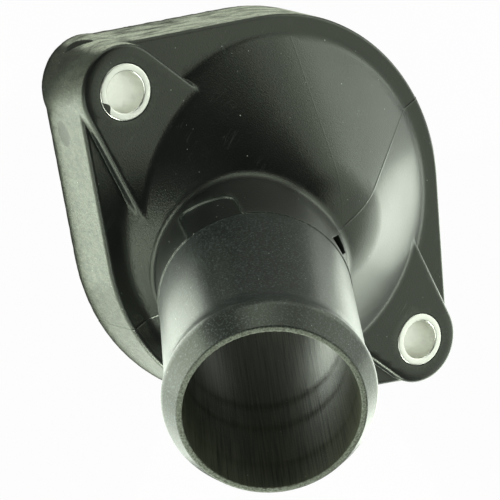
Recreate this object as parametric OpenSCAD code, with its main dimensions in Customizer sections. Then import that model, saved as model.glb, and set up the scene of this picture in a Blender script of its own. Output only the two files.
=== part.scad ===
// Moulded coolant outlet that closes an engine's thermostat chamber.
// A two-bolt flange carries a conical dome, and a hose neck leans out of the dome.
// The frame: mounting face on z = 0, dome axis on Z, bolts in a line along Y.

/* [Flange] */
// Distance between the two bolt centres
bolt_spacing = 78; // [74:0.5:90]
// Offset of the bolt line from the dome axis
bolt_offset = 1.9; // [0:0.1:4]
// Land outside the seal groove, at the lip
flange_land = 1.8; // [1.2:0.1:4]
// Height of the lip above the mounting face
flange_h = 11.4; // [9:0.1:14]
// Draft of the outside walls, in degrees
draft = 2.8; // [0.5:0.1:4]
// Rounding of the lip edge
lip_round = 0.8; // [0.3:0.1:1.5]

/* [Bolt pads] */
// Radius of the round end of each bolt pad, at the lip
pad_r = 8.1; // [7.2:0.1:9.5]
// Height of each pad above the lip
pad_rise = 2.0; // [1:0.1:3]
// Flare of the pad side that faces away from the bolt line, in degrees
pad_flare_wide = 22; // [15:1:28]
// Flare of the pad's nearly straight side, in degrees
pad_flare_narrow = 3; // [0:1:8]
// Distance that the pad runs from its bolt into the dome
pad_run = 20; // [16:0.5:22]
// Rounding of the pad's top edge
pad_round = 0.7; // [0.3:0.1:1.5]
// How far the flange's straight sides lie inside the round pad ends
pad_bulge = 0.25; // [0.1:0.05:0.6]

/* [Bolt sleeves] */
// Bore of the sleeve for the bolt
sleeve_bore_d = 7.0; // [6.4:0.1:7.4]
// Wall of the sleeve
sleeve_wall = 1.3; // [0.8:0.1:1.6]
// Height of the sleeve's face above the pad
sleeve_proud = 0.1; // [0:0.05:0.3]
// Radial gap between sleeve and moulding
sleeve_gap = 0.05; // [0.02:0.01:0.15]
// Chamfer on the sleeve's four edges
sleeve_chamfer = 0.25; // [0.1:0.05:0.4]
// Bevel round the sleeve's hole in the pad
pad_bevel = 0.15; // [0.1:0.05:0.6]

/* [Dome] */
// Height of the dome's rounded top above the mounting face
dome_top = 31; // [29:0.5:34]
// Radius of the dome's rounded top
dome_top_r = 17.5; // [14:0.5:20]
// Ledge between the dome's foot and the edge of the lip
ledge_w = 3.4; // [2:0.1:5]
// Hollow rounding where the dome's foot meets the ledge
foot_round = 1.5; // [0.5:0.1:3]
// Wall of the dome
dome_wall = 3; // [2.4:0.1:3.6]

/* [Hose neck] */
// Tilt of the neck away from the dome axis, in degrees
neck_tilt = 32; // [26:0.5:36]
// Turn of the neck's lean from +X, in degrees
neck_turn = -19.5; // [-40:0.5:40]
// Height at which the neck axis crosses the dome axis
neck_root_z = -1.1; // [-3:0.1:1]
// Distance from that crossing to the tip of the neck
neck_len = 74.2; // [68:0.1:90]
// Outside diameter of the neck
neck_d = 32; // [30:0.1:33]
// Distance from the crossing to the end of the collar
collar_end = 38; // [34:0.1:42]
// Step from the neck up to the collar
collar_step = 0.55; // [0.3:0.05:1.2]
// Chamfer on the collar's end
collar_chamfer = 0.2; // [0.1:0.05:0.3]

/* [Hose bead] */
// Height of the bead's crest above the neck
bead_rise = 0.8; // [0.4:0.05:1.5]
// Length of the flat crest
bead_land = 1.2; // [0.6:0.1:2]
// Distance from the tip to the front of the crest
bead_setback = 4.3; // [3:0.1:6]
// Length of the ramp behind the crest
bead_ramp = 3.2; // [2:0.1:5]
// Width of the flat rim at the tip
tip_rim = 0.95; // [0.6:0.05:1.5]
// Rounding of the rim's edges
tip_round = 0.3; // [0.1:0.05:0.4]

/* [Neck bore] */
// Wall of the neck round the deep part of the bore
neck_wall = 2.8; // [2.2:0.1:4]
// Radius gained at each step towards the tip
bore_step = 0.17; // [0.05:0.01:0.25]
// Distances of the steps from the tip
bore_step_depths = [23.9, 17.2, 6.4]; // [1:0.1:30]

/* [Collar notches] */
// Width of the wide notch at the collar's end
notch_w = 9.8; // [6:0.1:12]
// Length of the wide notch along its middle
notch_len = 8.8; // [6:0.1:9.5]
// Depth of the wide notch below the collar
notch_depth = 0.35; // [0.2:0.05:0.5]
// Lean of the wide notch's sides off the neck's line, in degrees
notch_lean = 9; // [0:1:12]
// Slant of the wide notch's inner edge, in degrees
notch_slant = 19; // [0:1:22]
// Rounding of the wide notch's inner corners
notch_round = 1.6; // [1:0.1:2]
// Width of the small notch on top of the neck
slot_w = 2.6; // [2:0.1:5]
// Length of the small notch along the neck
slot_len = 4.2; // [3:0.1:8.5]
// How far the small notch's floor sinks into the neck at its inner end
slot_sink = 1; // [0.2:0.05:1.2]

/* [Seal] */
// Wall left between the groove and the nearer sleeve hole
seal_wall = 1.6; // [1:0.1:3]
// Width of the groove in the mounting face
groove_w = 4.4; // [3.6:0.1:4.6]
// Depth of the groove
groove_depth = 2.8; // [2:0.1:3.2]
// Land between the groove and the chamber's mouth
groove_land = 1.7; // [1.2:0.1:2]
// Side gap on each side of the seal in its groove
seal_gap = 0.2; // [0.1:0.05:0.4]
// How far the fitted seal lies inside the mounting face
seal_recess = 0.05; // [0.02:0.01:0.2]

/* [Hidden] */
$fn = 96;

// Thickness of the slices that a rounded block is stretched over
slice_h = 0.01;
// Number of steps in a rounded edge
round_steps = 3;
// Number of steps in the dome's rounded top
dome_steps = 12;
// Number of steps in the rounding at the dome's foot
foot_steps = 4;
// Fineness of a pad's round end
pad_fn = 56;
// How far a cut runs past the face that it opens
over = 1;

// Place of each bolt along Y: left is -1, right is +1
LEFT = -1;
RIGHT = 1;

pad_top = flange_h + pad_rise;
sleeve_r = sleeve_bore_d / 2 + sleeve_wall;
sleeve_top = pad_top + sleeve_proud;
hole_r = sleeve_r + sleeve_gap;

// A pad's two flared sides are the tangents from its round end to a wider root circle
pad_swing = (pad_flare_wide - pad_flare_narrow) / 2;
pad_root_r = pad_r + pad_run * sin((pad_flare_wide + pad_flare_narrow) / 2);

// The groove lies just inside the bolts; the flange and the chamber follow from it
groove_r_out = norm([bolt_offset, bolt_spacing / 2]) - hole_r - seal_wall;
groove_r_in = groove_r_out - groove_w;
flange_r = groove_r_out + flange_land;
chamber_r = groove_r_in - groove_land;

// The dome's cone runs from its foot on the ledge to a tangent of its rounded top
dome_round_z = dome_top - dome_top_r;
dome_base_r = flange_r - ledge_w;
foot_rise = dome_round_z - flange_h;
dome_slope = atan2(foot_rise, dome_base_r) + asin(dome_top_r / norm([dome_base_r, foot_rise]));

neck_r = neck_d / 2;
collar_r = neck_r + collar_step;
crest_r = neck_r + bead_rise;
bore_r = neck_r - neck_wall;
mouth_r = bore_r + len(bore_step_depths) * bore_step;
tip_r = mouth_r + tip_rim;
crest_front = neck_len - bead_setback;
crest_back = crest_front - bead_land;
// Neck and bore both start inside the chamber
neck_start = collar_end / 2;

// Places of the notches round the neck: the wide one at its side, the small one on top
notch_angle = -91;
slot_angle = 185;
// Number of steps in a rounded corner of the wide notch
notch_steps = 6;

seal_h = groove_depth - seal_recess;
seal_r_mid = groove_r_in + groove_w / 2;
seal_w = groove_w - 2 * seal_gap;

plastic_colour = [0.13, 0.13, 0.125];
sleeve_colour = [0.80, 0.81, 0.80];
seal_colour = [0.07, 0.07, 0.075];

// Height of the dome's cone at radius r, with the skin moved in by inset
function cone_z(r, inset) =
    let (round_r = dome_top_r - inset)
    dome_round_z + round_r * cos(dome_slope) - (r - round_r * sin(dome_slope)) * tan(dome_slope);

// The dome's rounded top, from the cone to the axis
function dome_arc(inset) =
    let (r = dome_top_r - inset)
    [for (i = [0:dome_steps])
        let (a = dome_slope * (1 - i / dome_steps))
        [r * sin(a), dome_round_z + r * cos(a)]];

// The hollow rounding at the dome's foot, from the ledge up to the cone
function foot_arc() =
    let (reach = foot_round * tan(dome_slope / 2))
    [for (i = [0:foot_steps])
        let (a = dome_slope * i / foot_steps)
        [dome_base_r + reach - foot_round * sin(a), flange_h + foot_round * (1 - cos(a))]];

// Height and inset of slice i of an edge that is rounded by r below height top
function round_z(i, r, top) = top - slice_h - r + r * sin(90 * i / round_steps);
function round_inset(i, r) = r - r * cos(90 * i / round_steps);

// Growth of a drafted wall at height z, counted from the lip
function draft_grow(z) = (flange_h - z) * tan(draft);

module at_bolt(side) {
    translate([bolt_offset, side * bolt_spacing / 2, 0])
        children();
}

module along_neck() {
    translate([0, 0, neck_root_z])
        rotate([0, 0, neck_turn])
            rotate([0, neck_tilt, 0])
                children();
}

// One slice of the flange: the round middle and the ends of its straight sides
module flange_slice(z, grow) {
    translate([0, 0, z]) {
        cylinder(r = flange_r + grow, h = slice_h);
        for (side = [LEFT, RIGHT])
            at_bolt(side)
                cylinder(r = pad_r - pad_bulge + grow, h = slice_h, $fn = pad_fn);
    }
}

module flange_block() {
    hull() {
        flange_slice(0, draft_grow(0));
        for (i = [0:round_steps])
            let (z = round_z(i, lip_round, flange_h))
            flange_slice(z, draft_grow(z) - round_inset(i, lip_round));
    }
}

// One slice of a pad: its round end and the wider root under the dome
module pad_slice(side, z, grow) {
    translate([0, 0, z])
        at_bolt(side)
            rotate(side == LEFT ? 0 : 180) {
                cylinder(r = pad_r + grow, h = slice_h, $fn = pad_fn);
                rotate(-pad_swing)
                    translate([0, pad_run, 0])
                        cylinder(r = pad_root_r + grow, h = slice_h, $fn = pad_fn);
            }
}

module bolt_pad(side) {
    hull() {
        pad_slice(side, 0, draft_grow(0));
        for (i = [0:round_steps])
            let (z = round_z(i, pad_round, pad_top))
            pad_slice(side, z, draft_grow(z) - round_inset(i, pad_round));
    }
}

module dome_skin() {
    rotate_extrude()
        polygon(concat(
            [[0, flange_h / 2], [foot_arc()[0][0], flange_h / 2]],
            foot_arc(),
            dome_arc(0)));
}

module chamber() {
    rotate_extrude()
        polygon(concat(
            [[0, -over], [chamber_r, -over], [chamber_r, cone_z(chamber_r, dome_wall)]],
            dome_arc(dome_wall)));
}

// The neck's own outside, with its bead and flat rim
module neck_tube() {
    rotate_extrude()
        polygon([
            [0, neck_start],
            [neck_r, neck_start],
            [neck_r, crest_back - bead_ramp],
            [crest_r, crest_back],
            [crest_r, crest_front],
            [tip_r, neck_len - tip_round],
            [tip_r - tip_round, neck_len],
            [0, neck_len]]);
}

// Outline of the wide notch: x runs back from the collar's end, y round the neck
function notch_outline() =
    let (side = [1, tan(notch_lean)],
        inner = [sin(notch_slant), cos(notch_slant)],
        half = notch_w / 2 * cos(notch_lean) / cos(notch_lean + notch_slant),
        inset = notch_round / cos(notch_lean + notch_slant),
        pull = inset * cos(notch_lean) * side,
        middle = notch_len * side,
        mouth = -over * side)
    concat(
        [mouth - [0, notch_w / 2]],
        corner_arc(middle - (half - inset) * inner - pull, notch_lean - 90, -notch_slant),
        corner_arc(middle + (half - inset) * inner - pull, -notch_slant, notch_lean + 90),
        [mouth + [0, notch_w / 2]]);

// A rounded corner of the wide notch between two directions
function corner_arc(centre, from, to) =
    [for (i = [0:notch_steps])
        let (a = from + (to - from) * i / notch_steps)
        centre + notch_round * [cos(a), sin(a)]];

module wide_notch() {
    rotate([0, 0, notch_angle])
        translate([neck_r / 2, 0, collar_end])
            rotate([0, 90, 0])
                linear_extrude(height = neck_r)
                    polygon(notch_outline());
}

// The floor of the small notch rises from its inner end to the neck at the collar's end
module small_notch() {
    inner_end = collar_end - slot_len;
    outer_r = collar_r + over;
    rotate([0, 0, slot_angle])
        rotate([90, 0, 0])
            linear_extrude(height = slot_w, center = true)
                polygon([
                    [neck_r - slot_sink, inner_end],
                    [neck_r + slot_sink * over / slot_len, collar_end + over],
                    [outer_r, collar_end + over],
                    [outer_r, inner_end]]);
}

// The wide notch goes down to a round floor that stands a little above the neck
module collar() {
    translate([0, 0, neck_start])
        cylinder(r = collar_r - notch_depth, h = collar_end - neck_start);
    difference() {
        rotate_extrude()
            polygon([
                [0, neck_start],
                [collar_r, neck_start],
                [collar_r, collar_end - collar_chamfer],
                [collar_r - collar_chamfer, collar_end],
                [0, collar_end]]);
        wide_notch();
    }
}

// The neck's whole outside
module neck_skin() {
    difference() {
        union() {
            neck_tube();
            collar();
        }
        small_notch();
    }
}

// The bore widens by one step at each of the given distances from the tip
module neck_bore() {
    translate([0, 0, neck_start])
        cylinder(r = bore_r, h = neck_len - neck_start + over);
    for (i = [0:len(bore_step_depths) - 1])
        translate([0, 0, neck_len - bore_step_depths[i]])
            cylinder(r = bore_r + (i + 1) * bore_step, h = bore_step_depths[i] + over);
    translate([0, 0, neck_len - tip_round])
        cylinder(r1 = mouth_r, r2 = mouth_r + tip_round + over, h = tip_round + over);
}

module sleeve_hole() {
    translate([0, 0, -over])
        cylinder(r = hole_r, h = pad_top + 2 * over);
    translate([0, 0, pad_top - pad_bevel])
        cylinder(r1 = hole_r, r2 = hole_r + pad_bevel + over, h = pad_bevel + over);
}

module seal_groove() {
    difference() {
        translate([0, 0, -over])
            cylinder(r = groove_r_out, h = groove_depth + over);
        translate([0, 0, -2 * over])
            cylinder(r = groove_r_in, h = groove_depth + 4 * over);
    }
}

module housing() {
    color(plastic_colour)
        difference() {
            union() {
                flange_block();
                bolt_pad(LEFT);
                bolt_pad(RIGHT);
                dome_skin();
                along_neck()
                    neck_skin();
            }
            chamber();
            along_neck()
                neck_bore();
            for (side = [LEFT, RIGHT])
                at_bolt(side)
                    sleeve_hole();
            seal_groove();
        }
}

module bolt_sleeve(side) {
    color(sleeve_colour)
        at_bolt(side)
            rotate_extrude()
                translate([sleeve_bore_d / 2, 0])
                    polygon([
                        [sleeve_chamfer, 0],
                        [sleeve_wall - sleeve_chamfer, 0],
                        [sleeve_wall, sleeve_chamfer],
                        [sleeve_wall, sleeve_top - sleeve_chamfer],
                        [sleeve_wall - sleeve_chamfer, sleeve_top],
                        [sleeve_chamfer, sleeve_top],
                        [0, sleeve_top - sleeve_chamfer],
                        [0, sleeve_chamfer]]);
}

// The seal as it lies when bolted down: a round cord pressed to an oblong section
module seal_ring() {
    color(seal_colour)
        translate([0, 0, seal_recess])
            rotate_extrude()
                translate([seal_r_mid, seal_h / 2]) {
                    square([seal_w - seal_h, seal_h], center = true);
                    for (edge = [-1, 1])
                        translate([edge * (seal_w - seal_h) / 2, 0])
                            circle(d = seal_h);
                }
}

housing();
bolt_sleeve(LEFT);  // bolt_sleeve_left
bolt_sleeve(RIGHT);  // bolt_sleeve_right
seal_ring();
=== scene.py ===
# %% [markdown]
# # A moulded coolant outlet housing
# The real part is one injection moulding in black glass-filled nylon, with two turned
# aluminium sleeves in its bolt ears and a rubber seal in its mounting face.
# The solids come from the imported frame. Blender could only colour them, but a moulding is
# known by its soft edges, so the housing gets a finer skin that is slid onto rounded forms.

# %% Load the frame
import math

import bpy
import numpy as np
from mathutils import Matrix, Vector


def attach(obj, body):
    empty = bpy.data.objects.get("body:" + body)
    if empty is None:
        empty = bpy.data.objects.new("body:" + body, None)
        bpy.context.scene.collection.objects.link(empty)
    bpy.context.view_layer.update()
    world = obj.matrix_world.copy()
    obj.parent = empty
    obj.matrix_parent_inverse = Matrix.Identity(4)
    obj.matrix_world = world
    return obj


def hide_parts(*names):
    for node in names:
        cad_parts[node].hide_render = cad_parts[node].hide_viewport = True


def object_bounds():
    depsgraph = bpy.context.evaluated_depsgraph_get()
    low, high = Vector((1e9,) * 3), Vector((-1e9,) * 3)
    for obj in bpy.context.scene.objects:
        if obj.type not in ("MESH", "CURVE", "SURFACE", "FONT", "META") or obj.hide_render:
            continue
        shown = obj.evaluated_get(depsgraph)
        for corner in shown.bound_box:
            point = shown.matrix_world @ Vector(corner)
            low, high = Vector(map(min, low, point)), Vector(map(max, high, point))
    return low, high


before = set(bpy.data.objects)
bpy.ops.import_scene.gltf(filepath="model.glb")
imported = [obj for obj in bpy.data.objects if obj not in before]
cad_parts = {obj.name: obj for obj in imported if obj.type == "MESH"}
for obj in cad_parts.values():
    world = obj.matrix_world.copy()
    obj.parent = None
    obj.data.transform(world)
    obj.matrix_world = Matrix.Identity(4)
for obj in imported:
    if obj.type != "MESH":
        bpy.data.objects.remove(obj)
cad_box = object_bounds()
scene = bpy.context.scene
scene.view_settings.view_transform = "Standard"
MM = 0.001
print("nodes:", sorted(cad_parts))

# %% [markdown]
# ## The camera
# The photograph looks into the hose neck with a long lens, and it is turned so that the
# part's own upward direction points to the right. The six values below were found by
# laying the solids over the photograph. A camera is placed best by one matrix: first the
# roll about its own line of sight, then the direction, then the distance from the target.

# %% Place the camera
CAMERA_TARGET = Vector((10.42, -5.55, 19.23))
CAMERA_DISTANCE = 423.35
CAMERA_AZIMUTH = -70.376
CAMERA_ELEVATION = 56.504
CAMERA_ROLL = -106.346
CAMERA_LENS = 179.47


def direction(azimuth, elevation):
    """The unit vector towards a compass direction and a height, both in degrees."""
    a, e = math.radians(azimuth), math.radians(elevation)
    return Vector((math.cos(e) * math.cos(a), math.cos(e) * math.sin(a), math.sin(e)))


def add_object(name, data):
    """Puts new data into the scene as an object of the same name."""
    made = bpy.data.objects.new(name, data)
    scene.collection.objects.link(made)
    return made


camera = add_object("photo_camera", bpy.data.cameras.new("photo_camera"))
camera.data.lens = CAMERA_LENS
camera.data.sensor_width = 36
camera.data.clip_start = 0.01
towards_camera = direction(CAMERA_AZIMUTH, CAMERA_ELEVATION)
camera.matrix_world = (
    Matrix.Translation((CAMERA_TARGET + towards_camera * CAMERA_DISTANCE) * MM)
    @ towards_camera.to_track_quat("Z", "Y").to_matrix().to_4x4()
    @ Matrix.Rotation(math.radians(-CAMERA_ROLL), 4, "Z"))
scene.camera = camera
print("camera at", [round(v, 3) for v in camera.matrix_world.translation])

# %% [markdown]
# ## Two small tools for materials
# Colours are written as the hex values that a colour picker shows, and Blender wants linear
# light, so one function turns one into the other. A second one adds a node, sets its
# sockets and links it, which keeps every material readable as a list of steps.

# %% Colour and node tools


def linear(hex_colour):
    """An sRGB hex colour as linear RGBA."""
    channels = [int(hex_colour[i:i + 2], 16) / 255 for i in (1, 3, 5)]
    return [c / 12.92 if c <= 0.04045 else ((c + 0.055) / 1.055) ** 2.4 for c in channels] + [1]


def add(tree, kind, links=(), sockets=(), **settings):
    """Adds a node. links are (socket, output) pairs, sockets are (socket, value) pairs."""
    node = tree.nodes.new("ShaderNode" + kind)
    for name, value in settings.items():
        setattr(node, name, value)
    for socket, value in sockets:
        node.inputs[socket].default_value = value
    for socket, output in links:
        tree.links.new(output, node.inputs[socket])
    return node


def new_material(name):
    """An empty material: its node tree and its output's surface socket."""
    material = bpy.data.materials.new(name)
    material.use_nodes = True
    tree = material.node_tree
    tree.nodes.clear()
    return material, tree, tree.nodes.new("ShaderNodeOutputMaterial").inputs["Surface"]


print("white is", linear("#ffffff")[:3])

# %% [markdown]
# ## Floor and surroundings
# The photograph has a bare white ground, so the part lies on a sheet of white paper. A
# brighter lamp would whiten the paper too, but it would also grey the black part. Instead
# the paper's material asks what kind of ray has come: the camera's rays find it white.

# %% White paper floor
# The sheet's side in metres, and how far it lies below the part in millimetres
FLOOR_SIZE, FLOOR_DROP = 3.0, 0.02
PAPER_SHOWS_WHITE, PAPER_IN_GLOSS = 0.98, 0.08
SHADE_R, SHADE_END = 28, 34


def add_mesh(name, spots, faces):
    """A mesh object from its points in metres and its faces."""
    mesh = bpy.data.meshes.new(name)
    mesh.from_pydata(spots, [], faces)
    return add_object(name, mesh)


# Uncoated paper has no gloss: the eye gets an even ground and a soft shadow
paper, tree, surface = new_material("white_seamless_paper")
rays = add(tree, "LightPath")
# A glossy ray sees little of that white, or the black part would mirror it all over
sheen = add(tree, "Math", [(0, rays.outputs["Is Glossy Ray"])], [(1, PAPER_IN_GLOSS)],
            operation="MULTIPLY")
seen = rays.outputs["Is Camera Ray"]
for other in (sheen.outputs[0], rays.outputs["Is Transmission Ray"]):
    seen = add(tree, "Math", [(0, seen), (1, other)], operation="MAXIMUM").outputs[0]
# The paper under the part stays in its shadow
spot = add(tree, "VectorMath", [(0, add(tree, "TexCoord").outputs["Object"])], operation="LENGTH")
clear = add(tree, "MapRange", [("Value", spot.outputs["Value"])],
            [("From Min", SHADE_R * MM), ("From Max", SHADE_END * MM),
             ("To Max", PAPER_SHOWS_WHITE)])
share = add(tree, "Math", [(0, seen), (1, clear.outputs[0])], operation="MULTIPLY")
matt = add(tree, "BsdfDiffuse", sockets=[("Color", linear("#a8a8a6"))])
white = add(tree, "Emission", sockets=[("Color", linear("#ffffff")), ("Strength", 1.0)])
mixed = add(tree, "MixShader",
            [(0, share.outputs[0]), (1, matt.outputs[0]), (2, white.outputs[0])])
tree.links.new(mixed.outputs[0], surface)

half = FLOOR_SIZE / 2
corners = [(-half, -half, 0), (half, -half, 0), (half, half, 0), (-half, half, 0)]
floor = add_mesh("paper_floor", corners, [(0, 1, 2, 3)])
floor.location.z = cad_box[0][2] - FLOOR_DROP * MM
floor.data.materials.append(paper)
print("floor at", round(floor.location.z, 5))

# %% Surroundings
# Light from all round is faint, and only the camera sees the surroundings as white
AMBIENT_STRENGTH = 0.05
world = bpy.data.worlds.new("pale_studio")
world.use_nodes = True
scene.world = world
tree = world.node_tree
sky = tree.nodes["Background"]
rays = add(tree, "LightPath")
strength = add(tree, "Mix", [(0, rays.outputs["Is Camera Ray"])],
               [(2, AMBIENT_STRENGTH), (3, 1.0)])
tree.links.new(strength.outputs[0], sky.inputs["Strength"])
sky.inputs["Color"].default_value = linear("#f4f6f2")
print("light from all round:", AMBIENT_STRENGTH)

# %% [markdown]
# ## The rounded form of the moulding
# Every edge of a moulding is rounded by its mould, and every inner corner is filled. A bevel
# on the solid's triangles would tear where the dome, pads and neck run into each other.
# Instead the form is written as a distance field: a function that gives each point's
# distance from the skin, negative inside. Fields join with round corners of any radius, and
# they give smooth normals for nothing. All lengths here are millimetres, as in the solids.

# %% Sizes of the housing
BOLT_X, BOLT_Y = 1.9, 39.0
FLANGE_R, FLANGE_H, LIP_ROUND = 34.396, 11.4, 0.8
DRAFT = math.tan(math.radians(2.8))
PAD_R, PAD_TOP, PAD_ROUND, EAR_R = 8.1, 13.4, 0.9, 7.85
PAD_RUN, PAD_ROOT_R, PAD_SWING = 20.0, 12.43, math.radians(9.5)
SLEEVE_HOLE_R, HOLE_BEVEL = 4.85, 0.15
DOME_TOP, DOME_TOP_R, DOME_SLOPE, DOME_WALL = 31.0, 17.5, math.radians(38.16), 3.0
CHAMBER_R, GROOVE_MID, GROOVE_HALF, GROOVE_DEPTH = 26.496, 30.396, 2.2, 2.8
NECK_TILT, NECK_TURN, NECK_ROOT_Z = math.radians(32), math.radians(-19.5), -1.1
NECK_R, COLLAR_R, CREST_R, TIP_R, BORE_R = 16.0, 16.2, 16.8, 14.66, 13.2
NECK_START, COLLAR_END, NECK_END = 19.0, 38.0, 74.2
CREST_BACK, CREST_FRONT, BEAD_RAMP, TIP_ROUND = 68.9, 69.9, 2.2, 0.12
BORE_STEP, BORE_STEP_DEPTHS = 0.17, (23.9, 17.2, 6.4)
NOTCH_TURN, NOTCH_W, NOTCH_LEN, NOTCH_DEPTH = math.radians(-91), 9.8, 8.8, 0.32
NOTCH_LEAN, NOTCH_SLANT, NOTCH_ROUND = math.radians(9), math.radians(19), 1.6
SLOT_TURN, SLOT_LEAN, SLOT_BACK = math.radians(181.2), math.radians(25.7), 4.6
SLOT_W, SLOT_LEN, SLOT_SINK = 3.2, 6.9, 1.0

neck_line = np.array([math.sin(NECK_TILT) * math.cos(NECK_TURN),
                      math.sin(NECK_TILT) * math.sin(NECK_TURN), math.cos(NECK_TILT)])
neck_under = np.array([math.cos(NECK_TILT) * math.cos(NECK_TURN),
                       math.cos(NECK_TILT) * math.sin(NECK_TURN), -math.sin(NECK_TILT)])
neck_side = np.array([-math.sin(NECK_TURN), math.cos(NECK_TURN), 0])
print("neck points along", neck_line.round(3))

# %% Joining fields with round corners


def join(a, b, r):
    """Both forms, with their inner corner filled to radius r."""
    return np.maximum(r, np.minimum(a, b)) - np.hypot(np.maximum(r - a, 0), np.maximum(r - b, 0))


def overlap(a, b, r):
    """Where both forms are, with the edge between them rounded to radius r."""
    return -join(-a, -b, r)


def cut(a, b, r):
    """The first form without the second, with the edge rounded to radius r."""
    return overlap(a, -b, r)


def tapered_slab(x, y, start, end, r_start, r_end):
    """A flat outline: two circles and the tangents between them, seen from above."""
    along = np.subtract(end, start)
    span = np.hypot(*along)
    u = ((x - start[0]) * along[0] + (y - start[1]) * along[1]) / span
    v = np.abs((y - start[1]) * along[0] - (x - start[0]) * along[1]) / span
    lean = (r_start - r_end) / span
    slope = math.sqrt(1 - lean * lean)
    k = u * slope - v * lean
    flank = v * slope + u * lean - r_start
    return np.where(k < 0, np.hypot(u, v) - r_start,
                    np.where(k > slope * span, np.hypot(u - span, v) - r_end, flank))


print("two faces meeting at 0 with a 1 mm filling:", join(np.zeros(1), np.zeros(1), 1.0))

# %% [markdown]
# ## Flange, pads and dome
# The flange is a drafted plate: a big circle drawn out to an ear on each side. Each ear
# carries a raised pad whose flared sides run under the dome. The dome is a cone that ends
# in a ball, which is one line of algebra for each.

# %% Flange, pads and dome as fields
PAD_FOOT, DOME_FOOT, DOME_REACH = 0.05, 0.5, 33.2
PAD_AIM = (math.sin(PAD_SWING), math.cos(PAD_SWING))


def flange(x, y, z):
    """The drafted plate with its two ears."""
    ears = [tapered_slab(x, y, (0, 0), (BOLT_X, side * BOLT_Y), FLANGE_R, EAR_R)
            for side in (-1, 1)]
    return overlap(np.minimum(*ears) - (FLANGE_H - z) * DRAFT, z - FLANGE_H, LIP_ROUND)


def pad(x, y, z, side):
    """The raised pad round one bolt, flared towards the dome."""
    bolt = (BOLT_X, side * BOLT_Y)
    root = np.subtract(bolt, np.multiply(PAD_AIM, side * PAD_RUN))
    outline = tapered_slab(x, y, bolt, root, PAD_R, PAD_ROOT_R) - (FLANGE_H - z) * DRAFT
    return overlap(outline, z - PAD_TOP, PAD_ROUND)


def dome(rho, z, ball_r):
    """A cone that ends in a ball, by the distance from the axis and the height."""
    up = z - (DOME_TOP - DOME_TOP_R)
    cone = rho * math.sin(DOME_SLOPE) + up * math.cos(DOME_SLOPE) - ball_r
    on_ball = rho * math.cos(DOME_SLOPE) < up * math.sin(DOME_SLOPE)
    return np.where(on_ball, np.hypot(rho, up) - ball_r, cone)


def base_form(x, y, z):
    """Flange, pads and dome in one."""
    plate = join(flange(x, y, z), np.minimum(pad(x, y, z, -1), pad(x, y, z, 1)), PAD_FOOT)
    rho = np.hypot(x, y)
    shell = np.maximum(dome(rho, z, DOME_TOP_R), rho - DOME_REACH)
    return join(plate, shell, DOME_FOOT)


origin = np.zeros(1)
print("dome skin above the axis at", -base_form(origin, origin, origin)[0].round(2), "mm or more")

# %% [markdown]
# ## The hose neck
# The neck is a tube with a collar where it leaves the dome and a bead that keeps the hose
# on. It leans over, so its points are first measured along and around its own axis. The
# collar has a wide shallow notch at its side and a small slanted slot on top, where the
# mould's inserts met.

# %% Neck as a field
COLLAR_EDGE, COLLAR_FOOT, BEAD_EDGE, NOTCH_EDGE = 0.12, 0.1, 0.3, 0.06
# Each ring in the bore: a crisp share of its step, and a share that runs out softly
STEP_PARTS = ((0.15, 0.1), (0.85, 3.0))
# Past this exponent a curve is as good as flat
FLAT_FROM = 60


def neck_place(x, y, z):
    """Distance along the neck, and the two coordinates across it."""
    up = z - NECK_ROOT_Z
    axes = (neck_line, neck_under, neck_side)
    return [x * a[0] + y * a[1] + up * a[2] for a in axes]


def wide_notch(s, u, v):
    """Outline of the wide notch, unrolled on the side of the collar."""
    back = COLLAR_END - s
    across = v * math.cos(NOTCH_TURN) - u * math.sin(NOTCH_TURN)
    outward = u * math.cos(NOTCH_TURN) + v * math.sin(NOTCH_TURN)
    off_line = np.abs(across - back * math.tan(NOTCH_LEAN)) - NOTCH_W / 2
    inner = ((back - NOTCH_LEN) * math.cos(NOTCH_SLANT)
             - (across - NOTCH_LEN * math.tan(NOTCH_LEAN)) * math.sin(NOTCH_SLANT))
    outline = overlap(off_line * math.cos(NOTCH_LEAN), inner, NOTCH_ROUND)
    return np.maximum(outline, NECK_R / 2 - outward)


def slanted_slot(s, u, v):
    """The small slot behind the collar's end, slanted on the collar."""
    across = v * math.cos(SLOT_TURN) - u * math.sin(SLOT_TURN)
    outward = u * math.cos(SLOT_TURN) + v * math.sin(SLOT_TURN)
    back = COLLAR_END - SLOT_BACK - s
    along = back * math.cos(SLOT_LEAN) - across * math.sin(SLOT_LEAN)
    over = across * math.cos(SLOT_LEAN) + back * math.sin(SLOT_LEAN)
    outline = np.maximum(np.abs(along) - SLOT_LEN / 2, np.abs(over) - SLOT_W / 2)
    return np.maximum(outline, NECK_R - SLOT_SINK - outward)


def half_plane(r, s, start, end):
    """Distance outside the line from start to end in the neck's own section."""
    dr, ds = end[0] - start[0], end[1] - start[1]
    return ((r - start[0]) * ds - (s - start[1]) * dr) / math.hypot(dr, ds)


def neck_outside(s, u, v):
    """Tube, bead, tapered tip and notched collar."""
    r = np.hypot(u, v)
    ramp = half_plane(r, s, (NECK_R, CREST_BACK - BEAD_RAMP), (CREST_R, CREST_BACK))
    taper = half_plane(r, s, (CREST_R, CREST_FRONT), (TIP_R, NECK_END - TIP_ROUND))
    bead = overlap(r - CREST_R, ramp, BEAD_EDGE)
    tube = join(r - NECK_R, bead, 2 * BEAD_EDGE)
    tube = overlap(overlap(tube, taper, BEAD_EDGE), s - NECK_END, TIP_ROUND)
    ring = overlap(r - COLLAR_R, s - COLLAR_END, COLLAR_EDGE)
    notch_floor = np.maximum(COLLAR_R - NOTCH_DEPTH - r, s - COLLAR_END)
    notch = np.maximum(wide_notch(s, u, v), notch_floor)
    return np.maximum(cut(join(tube, ring, COLLAR_FOOT), notch, NOTCH_EDGE), NECK_START - s)


def soft_switch(value):
    """Goes smoothly from 0 to 1 as the value passes 0."""
    return 1 / (1 + np.exp(-np.clip(value, -FLAT_FROM, FLAT_FROM)))


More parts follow.
